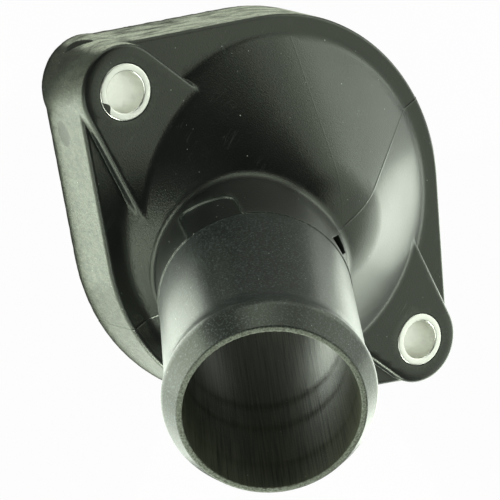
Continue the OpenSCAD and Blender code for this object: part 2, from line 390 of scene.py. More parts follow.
def neck_bore(s, u, v):
    """The bore widens by a step at each of three rings."""
    r = BORE_R
    for depth in BORE_STEP_DEPTHS:
        for share, soft in STEP_PARTS:
            r = r + share * BORE_STEP * soft_switch((s - NECK_END + depth) / soft)
    return np.maximum(np.hypot(u, v) - r, NECK_START - s)


tip = NECK_END * neck_line + np.array([0, 0, NECK_ROOT_Z])
print("neck tip at", tip.round(1))

# %% [markdown]
# ## Marks of the mould
# The parting line is the thin ridge that molten plastic leaves where the two halves of a
# mould meet. Here that is the plane of the neck's lean, so the ridge crosses the dome
# behind the neck and runs down both long sides. A fainter line lies across the dome, a
# ragged flash hangs on the mounting face's edge, and two dents sit in the side by one ear.
# All of them are small shifts of the field, so that they cast real light and shade.

# %% Ridges, flash and dents
RIDGE_RISE, RIDGE_HALF, RIDGE_STEP, RIDGE_FADE = 0.09, 0.12, 0.05, 0.4
WITNESS_TURN, WITNESS_RISE = math.radians(-144.8), 0.012
FLASH_OUT, FLASH_FALL = 0.16, 0.16
# The flash's ragged edge: its mean, then each wave's share, count round the part and start
FLASH_MEAN, FLASH_WAVES = 0.5, ((0.3, 61, 0), (0.2, 137, 1))
# A chipped hollow: its middle, the way along its crisp edge, the way out of the wall
CHIP_PLACE = (-0.8, -46.8, 5.0)
CHIP_ALONG, CHIP_OUT = (0.752, -0.294, -0.588), (-0.31, -0.95, 0.05)
CHIP_HALF, CHIP_WIDE, CHIP_DEEP = 2.6, 2.2, 0.4
# A shallow dent: its middle, its long way, the way out of the wall, its half sizes
DENT_PLACE, DENT_ALONG, DENT_OUT = (12.1, -39.6, 4.4), (0.6, 0.74, 0.31), (0.76, -0.64, 0.05)
DENT_HALF = np.array([2.1, 1.6, 0.16])


def plane_ridge(x, y, turn):
    """Coordinates along and across an upright plane through the axis."""
    return x * math.cos(turn) + y * math.sin(turn), y * math.cos(turn) - x * math.sin(turn)


def ridge_shape(across):
    """1 on a line, falling to 0 beside it."""
    return np.exp(-np.minimum((across / RIDGE_HALF) ** 2, FLAT_FROM))


def mould_lines(x, y):
    """Height of the parting ridge, its small step and the fainter witness line."""
    along, across = plane_ridge(x, y, NECK_TURN)
    ridge = RIDGE_RISE * ridge_shape(across)
    step = RIDGE_STEP * soft_switch(across / (RIDGE_HALF / 2))
    main = (ridge + step) * soft_switch(np.abs(along) - RIDGE_FADE)
    along, across = plane_ridge(x, y, WITNESS_TURN)
    faint = WITNESS_RISE * ridge_shape(across)
    return main + faint * soft_switch(along - RIDGE_FADE)


def flash(x, y, z):
    """Ragged thin flash along the edge of the mounting face."""
    turn = np.arctan2(y, x)
    ragged = FLASH_MEAN
    for share, count, start in FLASH_WAVES:
        ragged = ragged + share * np.sin(count * turn + start)
    return FLASH_OUT * ragged * np.exp(-np.maximum(z, 0) / FLASH_FALL)


def wall_axes(along, out):
    """Unit axes on a wall: along it, up it and out of it."""
    along, out = np.array(along), np.array(out)
    up = np.cross(along, out)
    return [axis / np.linalg.norm(axis) for axis in (along, up, out)]


def chip(x, y, z):
    """A hollow with one crisp edge and a floor that runs out."""
    at = np.stack([x, y, z]) - np.reshape(CHIP_PLACE, (3, 1))
    a, b, c = (axis @ at for axis in wall_axes(CHIP_ALONG, CHIP_OUT))
    floor_c = CHIP_DEEP * (b / CHIP_WIDE - 1)
    round_end = (np.hypot(a / CHIP_HALF, b / CHIP_WIDE) - 1) * CHIP_WIDE
    return np.maximum(np.maximum(-b, floor_c - c), round_end)


def dent(x, y, z):
    """A shallow bowl."""
    at = np.stack([x, y, z]) - np.reshape(DENT_PLACE, (3, 1))
    scaled_at = np.stack([axis @ at for axis in wall_axes(DENT_ALONG, DENT_OUT)])
    near = np.linalg.norm(scaled_at / DENT_HALF[:, None], axis=0)
    slope = np.maximum(np.linalg.norm(scaled_at / DENT_HALF[:, None] ** 2, axis=0), 1e-6)
    return near * (near - 1) / slope


print("chip is", 2 * CHIP_HALF, "mm long, dent", 2 * DENT_HALF[0], "mm")

# %% [markdown]
# ## The whole housing
# The hollows are cut from the joined form last, as a mould's core does. The normal of the
# skin is the direction in which the field grows, found by stepping a little each way.

# %% The whole housing as a field
NECK_FOOT, BASE_EDGE, RIM_EDGE, GROOVE_EDGE, CHIP_EDGE = 1.0, 0.15, 0.1, 0.15, 0.12


def hollows(x, y, z, s, u, v):
    """The chamber under the dome and the bore of the neck."""
    rho = np.hypot(x, y)
    chamber = np.maximum(rho - CHAMBER_R, dome(rho, z, DOME_TOP_R - DOME_WALL))
    return np.minimum(chamber, neck_bore(s, u, v))


def housing_field(points):
    """Each point's distance from the rounded skin in mm, negative inside."""
    x, y, z = points.T
    s, u, v = neck_place(x, y, z)
    base = base_form(x, y, z) - mould_lines(x, y) - flash(x, y, z)
    form = join(base, neck_outside(s, u, v), NECK_FOOT)
    form = cut(form, slanted_slot(s, u, v), NOTCH_EDGE)
    form = cut(cut(form, chip(x, y, z), CHIP_EDGE), dent(x, y, z), CHIP_EDGE)
    form = overlap(form, -z, BASE_EDGE)
    form = cut(form, hollows(x, y, z, s, u, v), RIM_EDGE)
    groove = np.maximum(np.abs(np.hypot(x, y) - GROOVE_MID) - GROOVE_HALF, z - GROOVE_DEPTH)
    form = cut(form, groove, GROOVE_EDGE)
    for side in (-1, 1):
        hole = np.hypot(x - BOLT_X, y - side * BOLT_Y) - SLEEVE_HOLE_R
        form = cut(form, hole, HOLE_BEVEL)
    return form


GRADIENT_STEP = 0.02


def field_normals(points):
    """Unit direction in which the field grows: the skin's normal."""
    steps = np.eye(3) * GRADIENT_STEP
    grown = np.stack([housing_field(points + d) - housing_field(points - d) for d in steps],
                     axis=1)
    return grown / np.maximum(np.linalg.norm(grown, axis=1, keepdims=True), 1e-9)


def slide_to_skin(points, rounds=4, longest=0.4):
    """Moves points along the normal until they lie on the rounded skin."""
    for _ in range(rounds):
        away = np.clip(housing_field(points), -longest, longest)
        points = points - away[:, None] * field_normals(points)
    return points


print("field at the tip's middle:", housing_field(tip[None, :]).round(2))

# %% [markdown]
# ## A finer skin
# The solid's own triangles are long and thin. They are split, longest edge first, until
# they are short where the form bends and moderate elsewhere. New points are slid onto the
# field after each round. A voxel remesh would be shorter, but it melts the small steps.

# %% Split and slide the triangles
LONGEST_EDGE, SHORTEST_EDGE, HIDDEN_SHORTEST = 2.0, 0.37, 1.5
BORE_SHORTEST, FLASH_SHORTEST, LINE_EDGE, SLOT_EDGE = 0.5, 0.5, 0.24, 0.18
BEND_COSINE = math.cos(math.radians(15))
SPLIT_ROUNDS, SPREAD_ROUNDS, MERGE_PER_MM = 11, 40, 2000
# Hidden: below this height, this far inside the outline, or this close to a hollow's wall
# and not yet this far along the neck
UNDER_Z, UNDER_INSET, HOLLOW_NEAR, BORE_SHOWS_FROM = 2.9, 1.5, 0.3, 45
FLASH_TOP, BORE_NEAR, OFF_SKIN = 0.5, 0.1, 0.018
# How far from each mark its finer triangles reach, and where the two lines start
LINE_REACH, WITNESS_REACH, SLOT_REACH, CHIP_REACH, DENT_REACH = 0.45, 0.4, 0.4, 4, 3
NECK_CLEAR, LIP_CLEAR = 0.3, 0.5


def welded(mesh):
    """The mesh's points in millimetres and its triangles, with doubled points merged."""
    mesh.calc_loop_triangles()
    points = np.empty(len(mesh.vertices) * 3)
    mesh.vertices.foreach_get("co", points)
    points = points.reshape(-1, 3) / MM
    corners = np.empty(len(mesh.loop_triangles) * 3, dtype=np.int64)
    mesh.loop_triangles.foreach_get("vertices", corners)
    _, first, same = np.unique((points * MERGE_PER_MM).round().astype(np.int64), axis=0,
                               return_index=True, return_inverse=True)
    triangles = same.ravel()[corners].reshape(-1, 3)
    whole = ((triangles[:, 0] != triangles[:, 1]) & (triangles[:, 1] != triangles[:, 2])
             & (triangles[:, 2] != triangles[:, 0]))
    return points[first], triangles[whole]


def edges_of(triangles, count):
    """Each edge once, and for each triangle's three sides the number of its edge."""
    sides = np.sort(np.stack([triangles, np.roll(triangles, -1, axis=1)], axis=2), axis=2)
    keys = sides[..., 0] * count + sides[..., 1]
    keys, numbers = np.unique(keys, return_inverse=True)
    return np.stack([keys // count, keys % count], axis=1), numbers.reshape(-1, 3)


def needs_split(points, normals, edges):
    """Which edges are too long for the form that they cross."""
    a, b = edges.T
    middle = (points[a] + points[b]) / 2
    length = np.linalg.norm(points[a] - points[b], axis=1)
    x, y, z = middle.T
    s, u, v = neck_place(x, y, z)
    hollow = hollows(x, y, z, s, u, v)
    hidden = (z < UNDER_Z) & (np.hypot(x, y) < FLANGE_R - UNDER_INSET)
    hidden |= (hollow < HOLLOW_NEAR) & (s < BORE_SHOWS_FROM)
    shortest = np.where(z < FLASH_TOP, FLASH_SHORTEST, SHORTEST_EDGE)
    shortest = np.where(hidden, HIDDEN_SHORTEST, shortest)
    shortest = np.where(hollow < BORE_NEAR, np.maximum(shortest, BORE_SHORTEST), shortest)
    shortest = np.where(np.abs(slanted_slot(s, u, v)) < SLOT_REACH, SLOT_EDGE, shortest)
    on_line = (np.abs(v) < LINE_REACH) & (np.abs(x) > RIDGE_FADE)
    on_line &= neck_outside(s, u, v) > NECK_CLEAR
    along, across = plane_ridge(x, y, WITNESS_TURN)
    on_witness = (np.abs(across) < WITNESS_REACH) & (along > RIDGE_FADE)
    on_line |= on_witness & (z > FLANGE_H + LIP_CLEAR)
    by_chip = np.linalg.norm(middle - CHIP_PLACE, axis=1) < CHIP_REACH
    by_chip |= np.linalg.norm(middle - DENT_PLACE, axis=1) < DENT_REACH
    bends = (normals[a] * normals[b]).sum(axis=1) < BEND_COSINE
    off_skin = np.abs(housing_field(middle)) > OFF_SKIN
    finer = on_line & ~hidden & (length > LINE_EDGE)
    finer |= by_chip & (length > 2 * LINE_EDGE)
    return (length > LONGEST_EDGE) | ((bends | off_skin) & (length > shortest)) | finer


def split(points, normals, triangles):
    """Halves the marked edges, and each touched triangle's longest edge with them."""
    edges, sides = edges_of(triangles, len(points))
    marked = needs_split(points, normals, edges)
    length = np.linalg.norm(points[edges[:, 0]] - points[edges[:, 1]], axis=1)
    longest = length[sides].argmax(axis=1)
    longest_edge = np.take_along_axis(sides, longest[:, None], axis=1)[:, 0]
    for _ in range(SPREAD_ROUNDS):
        wanted = longest_edge[marked[sides].any(axis=1)]
        if marked[wanted].all():
            break
        marked[wanted] = True
    number = np.cumsum(marked) - 1 + len(points)
    chosen = edges[marked]
    fresh = slide_to_skin((points[chosen[:, 0]] + points[chosen[:, 1]]) / 2)
    points = np.concatenate([points, fresh])
    normals = np.concatenate([normals, field_normals(fresh)])
    order = (longest[:, None] + np.arange(3)) % 3
    v0, v1, v2 = np.take_along_axis(triangles, order, axis=1).T
    e01, e12, e20 = np.take_along_axis(sides, order, axis=1).T
    keep = ~marked[e01]
    made = [triangles[keep]]
    for edge, near, far in ((e12, v1, v2), (e20, v2, v0)):
        once = marked[e01] & ~marked[edge]
        twice = marked[e01] & marked[edge]
        made.append(np.stack([number[e01], near, far], axis=1)[once])
        made.append(np.stack([number[e01], near, number[edge]], axis=1)[twice])
        made.append(np.stack([number[e01], number[edge], far], axis=1)[twice])
    return points, normals, np.concatenate(made)


points, triangles = welded(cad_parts["housing"].data)
points = slide_to_skin(points)
normals = field_normals(points)
print("solid:", len(points), "points,", len(triangles), "triangles")
for turn in range(SPLIT_ROUNDS):
    before = len(triangles)
    points, normals, triangles = split(points, normals, triangles)
    if len(triangles) == before:
        break
_, side_numbers = edges_of(triangles, len(points))
uses = np.bincount(side_numbers.ravel())
print("skin:", len(points), "points,", len(triangles), "triangles,",
      (uses != 2).sum(), "open edges")

# %% [markdown]
# ## Where the finish changes
# Wear, dust and gloss differ from place to place on a moulding. They could be painted by
# hand, but the field already knows where edges, nooks and walls are. So each point gets a
# number from 0 to 1 for each kind of place, and the material reads these as attributes.
# Two of them carry painted light and shade: a side painted paler where light falls along
# it, and the chip and dent painted darker.

# %% Masks for the finish
# A darker streak on the side by one ear, from one point to the other
DARK_STREAK_FROM, DARK_STREAK_TO, DARK_STREAK_HALF = np.array([2.8, -47.3, 5.6]), np.array([7.6, -45.2, 1.8]), 1.9


def dark_streak(points):
    """1 on the streak's line, falling to 0 beside it."""
    way = DARK_STREAK_TO - DARK_STREAK_FROM
    share = np.clip((points - DARK_STREAK_FROM) @ way / (way @ way), 0, 1)
    away = np.linalg.norm(points - DARK_STREAK_FROM - share[:, None] * way, axis=1)
    return np.exp(-(away / DARK_STREAK_HALF) ** 2)


# Direction that the side painted pale by the light faces, and how far off it the painted light
# still reaches
LIT_SIDE_WAY, LIT_SIDE_HALF, LIT_SIDE_SOFT = np.array([-0.68, -0.73, 0.0]), 0.1, 0.015
LIT_SIDE_ALONG = math.degrees(math.atan2(LIT_SIDE_WAY[0], -LIT_SIDE_WAY[1]))


# How far edges and nooks are felt for, and how close to a form a point counts as on it
MASK_REACH, HOLLOW_SKIN, MARK_SKIN, NECK_SKIN = 0.45, 0.05, 0.1, 0.1
# A side is steeper than this, lies this far below the lip and this near the outline
STEEP, STEEP_SOFT, SIDE_BELOW, SIDE_INSET = 0.45, 0.06, 2, 1.2
FOOT_TOP, FOOT_SOFT, FOOT_INSET = 0.7, 0.12, 1
BORE_FROM, RIM_FACING, RIM_DEPTH, DARK_STREAK_SHARE = NECK_START + 3, 0.8, 0.3, 0.75


def masks(points, normals):
    """How much each point is on an edge, in a nook, on a side, in painted light and so on."""
    x, y, z = points.T
    s, u, v = neck_place(x, y, z)
    edge = housing_field(points - normals * MASK_REACH) / MASK_REACH + 1
    nook = 1 - housing_field(points + normals * MASK_REACH) / MASK_REACH
    in_hollow = hollows(x, y, z, s, u, v) < HOLLOW_SKIN
    bore = in_hollow & (s > BORE_FROM)
    steep = soft_switch((STEEP - np.abs(normals[:, 2])) / STEEP_SOFT)
    by_outline = flange(x, y, np.minimum(z, FLANGE_H - SIDE_BELOW)) > -SIDE_INSET
    side = steep * (z < PAD_TOP) * ~in_hollow * by_outline
    marked = np.minimum(chip(x, y, z), dent(x, y, z)) < MARK_SKIN
    # Painted shade: the chip and dent are darkened, with a darker streak beside them
    dent_shade_and_streak = np.maximum(marked, DARK_STREAK_SHARE * dark_streak(points))
    # Painted light: steep sides that face one way get a pale layer, in patches like rubs
    painted_light_side = side * soft_switch((normals @ LIT_SIDE_WAY - 1 + LIT_SIDE_HALF) / LIT_SIDE_SOFT)
    rim = (normals @ neck_line > RIM_FACING) & (s > NECK_END - RIM_DEPTH)
    foot = steep * soft_switch((FOOT_TOP - z) / FOOT_SOFT)
    foot = foot * (np.hypot(x, y) > FLANGE_R - FOOT_INSET)
    neck = (neck_outside(s, u, v) < NECK_SKIN) & (s > COLLAR_END) & ~in_hollow
    return {"edge": np.clip(edge, 0, 1), "nook": np.clip(nook, 0, 1), "side": side, "painted_light_side": painted_light_side,
            "bore": bore.astype(float), "rim": rim.astype(float),
            "neck": neck.astype(float), "foot": foot, "dent_shade_and_streak": dent_shade_and_streak}


skin_masks = masks(points, normals)
print({name: round(float(mask.mean()), 3) for name, mask in skin_masks.items()})

# %% Make the skin mesh
skin = add_mesh("housing_skin", (points * MM).tolist(), triangles.tolist())
skin_mesh = skin.data
skin_mesh.update()
skin_mesh.polygons.foreach_set("use_smooth", np.ones(len(triangles), dtype=bool))
skin_mesh.normals_split_custom_set_from_vertices(normals.tolist())
for name, mask in skin_masks.items():
    skin_mesh.attributes.new(name, "FLOAT", "POINT").data.foreach_set("value", mask)
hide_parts("housing")
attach(skin, "root")
print("housing skin has", len(skin_mesh.polygons), "triangles")

# %% [markdown]
# ## Black glass-filled nylon, moulded
# Nylon with glass fibre comes out of the mould deep black and satin. Fibres near the skin
# give it a fine grain, and handling leaves pale scuffs, dust and a chalky bloom on the
# drafted sides. Light and shade are painted in too: one side paler where light falls along
# it, the bore paler for the light that comes up it, and the chip and dent darker. One flat
# black would look like paint, so the colour, the gloss and the relief each follow patterns
# with sizes in millimetres, and the masks say where they show.

# %% Patterns of the nylon


def per_mm(size):
    """Texture scale for a pattern whose grains are this many millimetres wide."""
    return 1 / (size * MM)


nylon, tree, surface = new_material("moulded_black_glass_filled_nylon")
place = add(tree, "TexCoord").outputs["Object"]
mask = {name: add(tree, "Attribute", attribute_name=name).outputs["Fac"] for name in skin_masks}

# Each noise: the width of its grains in mm, detail, roughness, how far it is drawn out along
# X, Y and Z, and in which direction of the compass its X lies, in degrees
NOISES = {
    # Flow of the melt: broad soft clouds
    "clouds": (9, 3.0, 0.5, (1, 1, 1), 0),
    # Chalky bloom on the sides
    "bloom": (1.2, 8.0, 0.75, (1, 1, 1), 0),
    # Patches of painted light and rubs, drawn out along the lit side
    "rub_and_light_patches": (1.5, 6.0, 0.66, (3.5, 1, 1), LIT_SIDE_ALONG),
    # Glass fibre: real fibres are 0.01 mm wide, drawn as 0.28 mm grains so that they show
    "grain": (0.28, 2.0, 0.5, (1, 1, 1), 0),
    # Drag lines, where the moulding slid along the mould's wall
    "drag": (0.3, 4.0, 0.6, (1, 1, 5), 0),
}
noise = {}
for name, (size, detail, roughness, drawn, turn) in NOISES.items():
    mapped = add(tree, "Mapping", [("Vector", place)],
                 [("Rotation", (0, 0, math.radians(turn))), ("Scale", drawn)],
                 vector_type="TEXTURE")
    made = add(tree, "TexNoise", [("Vector", mapped.outputs[0])],
               [("Scale", per_mm(size)), ("Detail", detail), ("Roughness", roughness)])
    noise[name] = made.outputs[0]

# Dust: a speck of up to 0.2 mm in some cells of 1.1 mm, some brighter than others
cells = add(tree, "TexVoronoi", [("Vector", place)], [("Scale", per_mm(1.1)), ("Randomness", 1.0)])
lucky = add(tree, "SeparateColor", [(0, cells.outputs["Color"])])
speck_r = add(tree, "MapRange", [("Value", lucky.outputs[0])],
              [("From Min", 0.5), ("From Max", 1.0), ("To Min", 0.0), ("To Max", 0.1)])
specks = add(tree, "Math", [(0, cells.outputs["Distance"]), (1, speck_r.outputs[0])],
             operation="LESS_THAN")
specks = add(tree, "Math", [(0, specks.outputs[0]), (1, lucky.outputs[1])],
             operation="MULTIPLY").outputs[0]
print("patterns:", list(noise), "and dust")

# %% Scratches and the streaks in the bore
# A scratch lies where a drawn-out noise passes its middle value. Its turns are in radians,
# the waves 1.4 mm wide, and the patches of scratches 5 mm
SCRATCH_WAYS = ((0.5, 0.3, 0.9), (1.9, -0.4, 0.2), (-0.8, 1.1, 0.4))
SCRATCH_DRAWN, SCRATCH_WAVE, SCRATCH_THIN, SCRATCH_PATCH = (0.05, 1.0, 1.0), 1.4, 0.006, 5
lines = []
for way in SCRATCH_WAYS:
    turned = add(tree, "Mapping", [("Vector", place)],
                 [("Rotation", way), ("Scale", SCRATCH_DRAWN)])
    waves = add(tree, "TexNoise", [("Vector", turned.outputs[0])],
                [("Scale", per_mm(SCRATCH_WAVE)), ("Detail", 1.0)])
    middle = add(tree, "Math", [(0, waves.outputs[0])], [(1, 0.5)], operation="SUBTRACT")
    middle = add(tree, "Math", [(0, middle.outputs[0])], operation="ABSOLUTE")
    thin = add(tree, "MapRange", [("Value", middle.outputs[0])],
               [("From Min", 0.0), ("From Max", SCRATCH_THIN), ("To Min", 1.0), ("To Max", 0.0)])
    lines.append(thin.outputs[0])
scratches = lines[0]
for line in lines[1:]:
    scratches = add(tree, "Math", [(0, scratches), (1, line)], operation="MAXIMUM").outputs[0]
where = add(tree, "TexNoise", [("Vector", place)],
            [("Scale", per_mm(SCRATCH_PATCH)), ("Detail", 1.0)])
where = add(tree, "MapRange", [("Value", where.outputs[0])],
            [("From Min", 0.55), ("From Max", 0.72), ("To Max", 0.25)])
scratches = add(tree, "Math", [(0, scratches), (1, where.outputs[0])],
                operation="MULTIPLY").outputs[0]

# Pulled by the core: streaks 0.3 mm wide, drawn out 50 times along the bore to 15 mm
STREAK_WIDE, STREAK_DRAWN = 0.3, 50
neck_axes = Matrix((neck_under, neck_side, neck_line)).transposed()
in_neck = add(tree, "Mapping", [("Vector", place)],
              [("Location", (0, 0, NECK_ROOT_Z * MM)), ("Rotation", neck_axes.to_euler())],
              vector_type="TEXTURE")
across = add(tree, "SeparateXYZ", [(0, in_neck.outputs[0])])
angle = add(tree, "Math", [(0, across.outputs["Y"]), (1, across.outputs["X"])],
            operation="ARCTAN2")
around = add(tree, "Math", [(0, angle.outputs[0])], [(1, BORE_R * MM)], operation="MULTIPLY")
along = add(tree, "Math", [(0, across.outputs["Z"])], [(1, STREAK_DRAWN)], operation="DIVIDE")
unrolled = add(tree, "CombineXYZ", [("X", around.outputs[0]), ("Y", along.outputs[0])])
streaks = add(tree, "TexNoise", [("Vector", unrolled.outputs[0])],
              [("Scale", per_mm(STREAK_WIDE)), ("Detail", 2.0), ("Roughness", 0.6)]).outputs[0]
print("scratches in", len(SCRATCH_WAYS), "directions, streaks", STREAK_WIDE, "mm wide")

# %% [markdown]
# The patterns now meet in one surface shader. The colour starts from two near blacks and is
# changed layer by layer: bloom and drag lines on the sides, painted light with rub-like
# patches on one side, painted shade in the chip and dent with a darker streak, dust in nooks,
# pale streaks in the bore that are partly painted light, rubbed edges, rim and neck,
# scratches and specks. Each layer is a colour and a pattern that is stretched between two
# limits and kept to one mask. Rougher places are paler on real nylon too, so some of the same
# masks drive the roughness.

# %% Colour of the nylon
# Each layer: its mask, its pattern, the pattern's limits, the strongest amount, the colour
LAYERS = (
    (mask["side"], noise["bloom"], (0.25, 0.75), 0.6, "#6f7366"),
    (mask["side"], noise["drag"], (0.45, 0.75), 0.15, "#8b8f82"),
    # Painted light: near white in patches on the side that faces one way, where light falls along
    # it
    (mask["painted_light_side"], noise["rub_and_light_patches"], (0.32, 0.56), 0.95, "#f2f6e4"),
    # Painted shade in the chip and dent, and a darker streak beside them
    (mask["dent_shade_and_streak"], noise["clouds"], (0.00, 0.30), 0.9, "#1b1d1a"),
    (mask["nook"], noise["clouds"], (0.00, 1.00), 0.9, "#3c4241"),
    (mask["edge"], noise["bloom"], (0.20, 0.80), 0.8, "#565a54"),
    # Streaks in the bore painted pale: real draw marks, and painted light that stands in for light
    # coming up the bore
    (mask["bore"], streaks, (0.25, 0.60), 0.85, "#6c6f5e"),
    (mask["rim"], noise["grain"], (0.25, 0.75), 0.9, "#868a7a"),
    (mask["neck"], noise["grain"], (0.50, 0.75), 0.5, "#6e787a"),
    (mask["side"], noise["grain"], (0.50, 0.70), 0.4, "#2a2c28"),
    (mask["foot"], noise["grain"], (0.25, 0.45), 0.95, "#1a1c17"),
)
colour = add(tree, "Mix", [(0, noise["clouds"])],
             [(6, linear("#0f1010")), (7, linear("#1c1e1d"))], data_type="RGBA").outputs[2]
amounts = []
for place_mask, pattern, (low, high), most, hex_colour in LAYERS:
    stretched = add(tree, "MapRange", [("Value", pattern)],
                    [("From Min", low), ("From Max", high), ("To Max", most)])
    amount = add(tree, "Math", [(0, place_mask), (1, stretched.outputs[0])], operation="MULTIPLY")
    amounts.append((amount.outputs[0], hex_colour))
amounts += [(scratches, "#6a6e68"), (specks, "#c4c6c0")]
for amount, hex_colour in amounts:
    colour = add(tree, "Mix", [(0, amount), (6, colour)], [(7, linear(hex_colour))],
                 data_type="RGBA").outputs[2]
print("nylon has", len(amounts), "layers of colour")

# %% Gloss and relief of the nylon
# Satin from a polished mould, a little uneven, then what each kind of place adds
SATIN, UNEVEN = 0.26, 0.10
ROUGHER = ((mask["side"], 0.16), (mask["bore"], 0.06), (mask["rim"], 0.2), (specks, 0.4))
rough = add(tree, "Math", [(0, noise["clouds"])], [(1, UNEVEN), (2, SATIN)],
            operation="MULTIPLY_ADD").outputs[0]
for rougher, more in ROUGHER:
    rough = add(tree, "Math", [(0, rougher), (2, rough)], [(1, more)],
                operation="MULTIPLY_ADD").outputs[0]
# Each relief: its mask, its pattern, its height in mm
RELIEFS = ((mask["side"], noise["drag"], 0.03), (mask["side"], noise["bloom"], 0.06),
           (mask["bore"], streaks, 0.03), (mask["side"], noise["grain"], 0.05))
relief = add(tree, "Bump", [("Height", noise["grain"])],
             [("Strength", 0.8), ("Distance", 0.04 * MM)]).outputs[0]
for place_mask, pattern, height in RELIEFS:
    raised = add(tree, "Math", [(0, place_mask), (1, pattern)], operation="MULTIPLY")
    relief = add(tree, "Bump", [("Height", raised.outputs[0]), ("Normal", relief)],
                 [("Strength", 0.7), ("Distance", height * MM)]).outputs[0]
body = add(tree, "BsdfPrincipled",
           [("Base Color", colour), ("Roughness", rough), ("Normal", relief)],
           [("IOR", 1.53), ("Specular Tint", linear("#f9ffee"))])
tree.links.new(body.outputs[0], surface)
skin_mesh.materials.append(nylon)
print("nylon has", len(tree.nodes), "nodes")

# %% [markdown]
# ## Turned aluminium sleeves
# The bolts would crush the plastic, so each ear holds a short aluminium tube. It is cut on a
# lathe, which leaves rings on its end face and in its bore and a tiny round on each edge. A
# spun profile makes just that, where a bevelled cylinder would leave the bore's rings out.

# %% Aluminium
aluminium, tree, surface = new_material("turned_aluminium")
place = add(tree, "TexCoord").outputs["Object"]
axes = add(tree, "SeparateXYZ", [(0, place)])
flat = add(tree, "CombineXYZ", [("X", axes.outputs["X"]), ("Y", axes.outputs["Y"])])
radius = add(tree, "VectorMath", [(0, flat.outputs[0])], operation="LENGTH")
feed = add(tree, "CombineXYZ", [("X", radius.outputs["Value"]), ("Y", axes.outputs["Z"])])
# Tool marks: the real feed is about 0.08 mm, drawn at 0.16 mm so that it shows
rings = add(tree, "TexNoise", [("Vector", feed.outputs[0])],
            [("Scale", per_mm(0.16)), ("Detail", 2.0)])
tarnish = add(tree, "TexNoise", [("Vector", place)], [("Scale", per_mm(1.5)), ("Detail", 4.0)])
tone = add(tree, "Mix", [(0, tarnish.outputs[0])],
           [(6, linear("#d0d2c8")), (7, linear("#fdfcf8"))], data_type="RGBA")
gloss = add(tree, "MapRange", [("Value", tarnish.outputs[0])],
            [("From Min", 0.3), ("From Max", 0.7), ("To Min", 0.3), ("To Max", 0.5)])
marks = add(tree, "Bump", [("Height", rings.outputs[0])],
            [("Strength", 0.6), ("Distance", 0.02 * MM)])
metal = add(tree, "BsdfPrincipled",
            [("Base Color", tone.outputs[2]), ("Roughness", gloss.outputs[0]),
             ("Normal", marks.outputs[0])], [("Metallic", 1.0)])
tree.links.new(metal.outputs[0], surface)
print("aluminium has", len(tree.nodes), "nodes")

# %% Spin the sleeves
SLEEVE_BORE_R, SLEEVE_R, SLEEVE_TOP, SLEEVE_ROUND = 3.5, 4.8, 13.5, 0.25
SPIN_STEPS, ROUND_STEPS = 96, 5


def sleeve_profile():
    """Radius and height once round the sleeve's section, with rounded edges."""
    middle_r, middle_z = (SLEEVE_BORE_R + SLEEVE_R) / 2, SLEEVE_TOP / 2
    corners = [(SLEEVE_R, 0, 270), (SLEEVE_R, SLEEVE_TOP, 0), (SLEEVE_BORE_R, SLEEVE_TOP, 90),
               (SLEEVE_BORE_R, 0, 180)]
    outline = []
    for r, z, start in corners:
        r -= math.copysign(SLEEVE_ROUND, r - middle_r)
        z -= math.copysign(SLEEVE_ROUND, z - middle_z)
        for step in range(ROUND_STEPS + 1):
            a = math.radians(start + 90 * step / ROUND_STEPS)
            outline.append((r + SLEEVE_ROUND * math.cos(a), z + SLEEVE_ROUND * math.sin(a)))
    return outline


def spun(outline):
    """Points and faces of a closed outline, turned once round the Z axis."""
    count = len(outline)
    spots, faces = [], []
    for i in range(SPIN_STEPS):
        a = 2 * math.pi * i / SPIN_STEPS
        spots += [(r * math.cos(a) * MM, r * math.sin(a) * MM, z * MM) for r, z in outline]
        here, there = i * count, (i + 1) % SPIN_STEPS * count
        for k in range(count):
            n = (k + 1) % count
            faces.append((here + k, there + k, there + n, here + n))
    return spots, faces


for side, node in ((-1, "bolt_sleeve_left"), (1, "bolt_sleeve_right")):
    sleeve = add_mesh("turned_" + node, *spun(sleeve_profile()))
    sleeve.data.polygons.foreach_set("use_smooth", [True] * len(sleeve.data.polygons))
    sleeve.data.update()
    sleeve.location = (BOLT_X * MM, side * BOLT_Y * MM, 0)
    sleeve.data.materials.append(aluminium)
    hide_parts(node)
    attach(sleeve, "root")
    print(sleeve.name, "has", len(sleeve.data.polygons), "faces")

# %% [markdown]
# ## Flake of flash
# A thin flake of nylon has run over the end of one sleeve and stuck there. Its outer side
# follows the hole and its inner side bulges over the ring, so both are arcs on the sleeve's
# axis: one flat prism is enough.

# %% Flake
FLAKE_FROM, FLAKE_TO, FLAKE_STEPS = math.radians(-33), math.radians(-1), 16
FLAKE_R, FLAKE_BULGE, FLAKE_BOTTOM, FLAKE_TOP = 4.72, 1.05, 13.4, 13.58
turn = np.linspace(FLAKE_FROM, FLAKE_TO, FLAKE_STEPS + 1)
bulge = FLAKE_R - FLAKE_BULGE * np.sin(np.linspace(0, math.pi, FLAKE_STEPS + 1))
turn = np.append(turn, turn[-2:0:-1])
reach = np.append(np.full(FLAKE_STEPS + 1, FLAKE_R), bulge[-2:0:-1])
count = len(turn)
spots = [(r * math.cos(a) * MM, r * math.sin(a) * MM, z * MM)
         for z in (FLAKE_BOTTOM, FLAKE_TOP) for a, r in zip(turn, reach)]
faces = [tuple(range(count - 1, -1, -1)), tuple(range(count, 2 * count))]
faces += [(k, (k + 1) % count, count + (k + 1) % count, count + k) for k in range(count)]
flake = add_mesh("flash_flake", spots, faces)
flake.data.materials.append(nylon)
flake.location = (BOLT_X * MM, -BOLT_Y * MM, 0)
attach(flake, "root")
print("flake is", round((FLAKE_TO - FLAKE_FROM) * FLAKE_R, 1), "mm long")

# %% [markdown]
# ## Rubber seal
# The seal lies in its groove under the flange and only shows from below. Its solid already
# has the right rounded section, so it stays and gets a finish: black rubber from a mould,
# matt, with a fine sandy skin and a little chalk.

